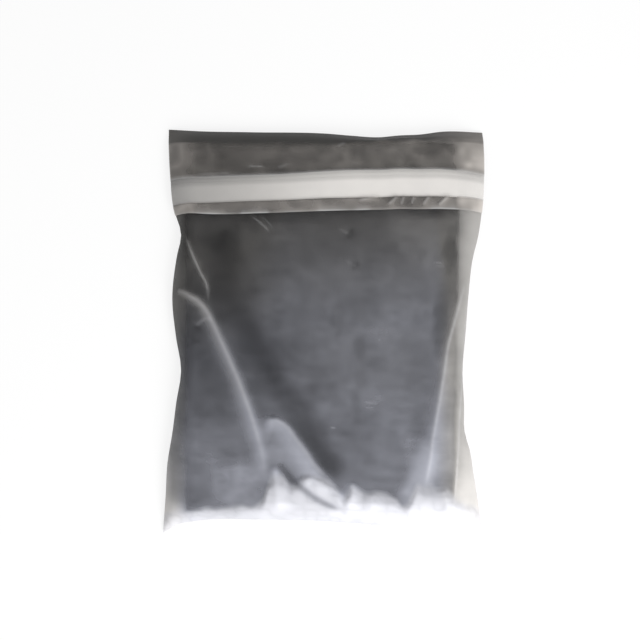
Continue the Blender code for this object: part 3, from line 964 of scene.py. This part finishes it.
def flap_looks(u, v):
    """The flap lets the strips show, and its creases and free edge catch the light."""
    points = flap(u, v)
    x, y = points[..., 0], points[..., 1]
    lift = points[..., 2] - skin(u, v)[..., 2] - FLAP_REST
    drift = noise(x, y, *FLAP_DRIFT)
    moved = NARROWS_RIGHT * rising(u, *NARROWS_RIGHT_FROM) * rising(v, *NARROWS_RIGHT_ALONG)
    moved = moved - NARROWS_LEFT * falling(u, *NARROWS_LEFT_TO) + DRIFT_ACROSS * drift
    colour, cover = looks(x + moved * MM, y, np.maximum(lift, 0), 1)
    colour *= flap_patches(u, v, x, y)[..., None] * np.array(FLAP_TINT)
    beyond_left = BEYOND_LEFT * falling(u - DRIFT_SHARE * drift, *BEYOND_LEFT_TO)
    beyond_right = BEYOND_RIGHT * rising(u + DRIFT_SHARE * drift, *BEYOND_RIGHT_FROM)
    colour *= 1 + (beyond_left + beyond_right)[..., None]
    tone, shown = dark_top(u, v, drift)
    colour = blend(colour, tone[..., None] * np.array(TOP_TINT), shown[..., None])
    cover = blend(cover, CLOSED_COVER, shown)
    over_strip = rising(v, LINER_LOW, STRIP_EDGE) * falling(v, LINER_HIGH, STRIP_EDGE)
    colour = blend(colour, OVER_STRIP_TONE, over_strip[..., None])
    cover = cover * (1 - OVER_STRIP_CLEARS * over_strip)
    above = (v - LINER_HIGH) * BAG_LENGTH
    shaded = ease(above / LINER_EDGE_WIDTH) * (1 - ease(above / LINER_SHADOW_REACH))
    shaded = shaded * rising(u, *LINER_SHADOW_FROM)
    on_creases, left = crease_light(v, x, y)
    colour *= ((1 - LINER_SHADOW * shaded) * left)[..., None]
    bright = np.maximum(edge_light(u, v, x, y), on_creases)
    return blend(colour, CAUGHT_TONE, bright[..., None]), blend(cover, CLOSED_COVER, bright)


def liner_looks(u, v):
    """The liner, in painted shade at the left, and darker where it reaches past the adhesive."""
    at_left, to_right = LINER_TONE
    past = np.clip((v - ADHESIVE_HIGH) / (LINER_HIGH - ADHESIVE_HIGH), 0, 1)
    tone = (at_left + to_right * ease(u / STRIP_LIGHTENS)) * (1 - PAST_DARKENS * past)
    return tone[..., None] * np.array(WARM), np.ones(u.shape)


def adhesive_looks(u, v):
    """The adhesive, in painted shade at the left, and darker towards its upper edge."""
    at_left, to_right = ADHESIVE_TONE
    lower = blend(ADHESIVE_LEAST, 1, falling(v, ADHESIVE_HIGH, ADHESIVE_SPAN))
    tone = (at_left + to_right * ease(u / STRIP_LIGHTENS)) * lower
    return tone[..., None] * np.array(WARM), np.ones(u.shape)


def web_object(name, sheets):
    """One mesh of (surface, looks, u, v) grids, with each point's colour and cover."""
    vertices, faces, colours, covers = [], [], [], []
    start = 0
    for surface, looks_of, u, v in sheets:
        across, along = np.meshgrid(u, v)
        points = surface(across, along)
        rows, columns = across.shape
        index = start + np.arange(rows * columns).reshape(rows, columns)
        start += rows * columns
        quads = np.stack([index[:-1, :-1], index[:-1, 1:], index[1:, 1:], index[1:, :-1]], axis=-1)
        vertices.append(points.reshape(-1, 3))
        faces.append(quads.reshape(-1, 4))
        if looks_of:
            colour, cover = looks_of(across, along)
            colours.append(np.dstack([colour, np.ones(cover.shape)]).ravel())
            covers.append(cover.ravel())
    moved = np.concatenate(vertices) - (0, BAG_LENGTH / 2, 0)
    mesh = bpy.data.meshes.new(name)
    mesh.from_pydata(moved.tolist(), [], np.concatenate(faces).tolist())
    if colours:
        shade = mesh.attributes.new("shade", "FLOAT_COLOR", "POINT")
        shade.data.foreach_set("color", np.clip(np.concatenate(colours), 0, 1))
        cover = mesh.attributes.new("cover", "FLOAT", "POINT")
        cover.data.foreach_set("value", np.clip(np.concatenate(covers), 0, 1))
    mesh.shade_smooth()
    piece = bpy.data.objects.new(name, mesh)
    bpy.context.scene.collection.objects.link(piece)
    return piece


def new_material(name):
    """A material with nodes, its node tree, and its shader."""
    material = bpy.data.materials.new(name)
    material.use_nodes = True
    return material, material.node_tree, material.node_tree.nodes["Principled BSDF"]


def reckoned(tree, operation, one, other, **settings):
    """Two values added, multiplied or the like."""
    made = node(tree, "ShaderNodeMath", {0: one, 1: other}, operation=operation, **settings)
    return made.outputs[0]


def fine_noise(tree, scale, detail):
    """Noise fixed to the piece."""
    place = node(tree, "ShaderNodeTexCoord").outputs["Object"]
    made = node(tree, "ShaderNodeTexNoise", {"Vector": place, "Scale": scale, "Detail": detail})
    return made.outputs["Fac"]


def node(tree, kind, inputs=(), **settings):
    """A node with its settings, and its inputs linked or given a value by name or number."""
    made = tree.nodes.new(kind)
    for key, value in settings.items():
        setattr(made, key, value)
    for key, value in dict(inputs).items():
        if isinstance(value, bpy.types.NodeSocket):
            tree.links.new(value, made.inputs[key])
        else:
            made.inputs[key].default_value = value
    return made


def ramp(tree, factor, stops):
    """A colour ramp of (position, grey or colour) stops."""
    made = node(tree, "ShaderNodeValToRGB", {"Fac": factor})
    elements = made.color_ramp.elements
    while len(elements) < len(stops):
        elements.new(0.5)
    for element, (position, colour) in zip(elements, stops):
        element.position = position
        element.color = (*(colour if isinstance(colour, tuple) else (colour,) * 3), 1)
    return made.outputs["Color"]


def bumped(tree, shader, height, strength, distance):
    """A fine relief on a shader."""
    made = node(tree, "ShaderNodeBump", {"Height": height, "Strength": strength, "Distance": distance})
    tree.links.new(made.outputs["Normal"], shader.inputs["Normal"])


def mottled(tree, scale, low, high):
    """The mesh's shade times a soft noise."""
    shade = node(tree, "ShaderNodeAttribute", attribute_name="shade").outputs["Color"]
    level = node(
        tree, "ShaderNodeMapRange",
        {"Value": fine_noise(tree, scale, 4), "To Min": low, "To Max": high},
    ).outputs["Result"]
    return node(
        tree, "ShaderNodeVectorMath", {0: shade, "Scale": level}, operation="SCALE"
    ).outputs["Vector"]


def film_material():
    """Frosted film: nearly clear on the goods, milky where it stands off them."""
    material, tree, shader = new_material("frosted_film")
    cover = node(tree, "ShaderNodeAttribute", attribute_name="cover").outputs["Fac"]
    tree.links.new(mottled(tree, *FILM_MOTTLE), shader.inputs["Base Color"])
    tree.links.new(cover, shader.inputs["Alpha"])
    shader.inputs["Roughness"].default_value = FILM_ROUGHNESS
    bumped(tree, shader, fine_noise(tree, *FILM_GRAIN), *FILM_BUMP)
    return material


def coated_material(name, roughness):
    """Coated paper or a thin layer of adhesive, faintly uneven."""
    material, tree, shader = new_material(name)
    tree.links.new(mottled(tree, *STRIP_MOTTLE), shader.inputs["Base Color"])
    shader.inputs["Roughness"].default_value = roughness
    bumped(tree, shader, fine_noise(tree, *STRIP_GRAIN), *STRIP_BUMP)
    return material


def cloth_material():
    """Dark knitted cloth."""
    material, tree, shader = new_material("dark_cloth")
    knit, worn = fine_noise(tree, *KNIT), fine_noise(tree, *WORN)
    mixed = reckoned(tree, "MULTIPLY", knit, worn)
    tree.links.new(ramp(tree, mixed, CLOTH_TONES), shader.inputs["Base Color"])
    shader.inputs["Roughness"].default_value = 1.0
    shader.inputs["Specular IOR Level"].default_value = CLOTH_SPECULAR
    bumped(tree, shader, knit, *KNIT_BUMP)
    return material


def dress(piece, material, solid):
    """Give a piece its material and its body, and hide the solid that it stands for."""
    piece.data.materials.clear()
    piece.data.materials.append(material)
    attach(piece, "root")
    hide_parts(solid)


def make_bag():
    """The film: front panel, back panel and flap."""
    across = crowded(COLUMNS)
    front = np.linspace(MOUTH, 0, FRONT_ROWS + 1)
    back = crowded(BACK_ROWS)
    over = 1 - (1 - FLAP_EDGE) * crowded(FLAP_ROWS)
    sheets = (
        (front_panel, front_looks, across, front),
        (back_panel, back_looks, across, back),
        (flap, flap_looks, across, over),
    )
    dress(web_object("film", sheets), film_material(), "bag_film")


def make_strip(name, low, high, offset, looks_of, material, solid):
    """A strip under the flap, which comes down to the film at its upper edge."""

    def surface(u, v):
        drop = STRIP_DROP * ease(1 - (high - v) * BAG_LENGTH / STRIP_DROP_REACH)
        return lifted(u, v, (offset - drop)[..., None])

    grid = (surface, looks_of, crowded(COLUMNS), np.linspace(low, high, STRIP_ROWS + 1))
    dress(web_object(name, (grid,)), material, solid)


def make_strips():
    """The liner and the adhesive."""
    paper = coated_material("liner_paper", PAPER_ROUGHNESS)
    glue = coated_material("adhesive", GLUE_ROUGHNESS)
    make_strip(
        "liner", LINER_LOW, LINER_HIGH, LINER_LEVEL, liner_looks, paper, "release_liner"
    )
    make_strip(
        "adhesive", LINER_LOW, ADHESIVE_HIGH, ADHESIVE_LEVEL, adhesive_looks, glue,
        "adhesive_strip",
    )


def goods_sheet(above):
    """The goods' top or underside, which meet all round at their rim."""

    def surface(u, v):
        s, t = 2 * u - 1, 2 * v - 1
        left, right = goods_side(-1, v), goods_side(1, v)
        half_width, half_length = (right - left) / 2, (GOODS_TOP - GOODS_BOTTOM) / 2
        x = (left + right) / 2 + s * half_width * (1 - GOODS_CORNER * t**CORNER_POWER)
        y = (GOODS_BOTTOM + GOODS_TOP) / 2 + t * half_length * (1 - GOODS_CORNER * s**CORNER_POWER)
        top = goods_height(x, y)
        rim = blend(GOODS_BASE, top, WELD_SHARE)
        rounding = rounded((1 - np.abs(s)) * half_width) * rounded((1 - np.abs(t)) * half_length)
        return np.stack([x, y, blend(rim, top if above else GOODS_BASE, rounding)], axis=-1)

    return surface


def make_goods():
    """The folded goods, in rows that crowd at their rim."""
    places = (1 - np.cos(np.linspace(0, np.pi, GOODS_ROWS + 1))) / 2
    sheets = (
        (goods_sheet(True), None, places, places),
        (goods_sheet(False), None, places, places[::-1]),
    )
    dress(web_object("goods", sheets), cloth_material(), "folded_contents")


def add_light(name, place, target, size, power):
    """A square lamp that faces a target."""
    lamp = bpy.data.lights.new(name, "AREA")
    lamp.shape = "SQUARE"
    lamp.size = size
    lamp.energy = power
    light = bpy.data.objects.new(name, lamp)
    light.location = place
    light.rotation_euler = (Vector(target) - Vector(place)).to_track_quat("-Z", "Y").to_euler()
    bpy.context.scene.collection.objects.link(light)


def make_camera():
    """The camera over the bag, and plain display of what it sees."""
    camera = bpy.data.objects.new("camera", bpy.data.cameras.new("camera"))
    camera.data.lens = LENS
    camera.location = CAMERA_PLACE
    camera.rotation_euler = (np.radians(CAMERA_TILT), 0, np.radians(CAMERA_ROLL))
    bpy.context.scene.collection.objects.link(camera)
    bpy.context.scene.camera = camera
    bpy.context.scene.view_settings.view_transform = "Standard"


def background_rays(tree):
    """1 for a ray that shows the background: seen straight on, in gloss or through glass."""
    path = node(tree, "ShaderNodeLightPath").outputs
    seen = reckoned(tree, "ADD", path["Is Camera Ray"], path["Is Glossy Ray"])
    return reckoned(tree, "ADD", seen, path["Is Transmission Ray"], use_clamp=True)


def make_floor():
    """A white floor that keeps a faint shadow."""
    bpy.ops.mesh.primitive_plane_add(size=FLOOR_SIZE)
    floor = bpy.context.object
    floor.name = "floor"
    material, tree, shader = new_material("white_floor")
    shader.inputs["Base Color"].default_value = (FLOOR_TONE, FLOOR_TONE, FLOOR_TONE, 1)
    shader.inputs["Roughness"].default_value = FLOOR_ROUGHNESS
    white = node(tree, "ShaderNodeEmission", {"Color": WHITE, "Strength": FLOOR_GLOW})
    share = reckoned(tree, "MULTIPLY", background_rays(tree), FLOOR_GLOW_SHARE)
    seen = node(
        tree, "ShaderNodeMixShader",
        {0: share, 1: shader.outputs["BSDF"], 2: white.outputs["Emission"]},
    )
    tree.links.new(seen.outputs["Shader"], tree.nodes["Material Output"].inputs["Surface"])
    floor.data.materials.append(material)


def make_backdrop():
    """A white surround, brighter where it is seen than in the light that it gives."""
    world = bpy.data.worlds.new("studio")
    world.use_nodes = True
    tree = world.node_tree
    backdrop = tree.nodes["Background"]
    backdrop.inputs["Color"].default_value = WHITE
    strength = node(
        tree, "ShaderNodeMapRange",
        {"Value": background_rays(tree), "To Min": BACKDROP_LIGHT, "To Max": BACKDROP_SEEN},
    )
    tree.links.new(strength.outputs["Result"], backdrop.inputs["Strength"])
    bpy.context.scene.world = world


make_bag()
make_strips()
make_goods()
make_floor()
make_backdrop()
add_light("key", LAMP_PLACE, (0, 0, 0), LAMP_SIZE, LAMP_POWER)
make_camera()
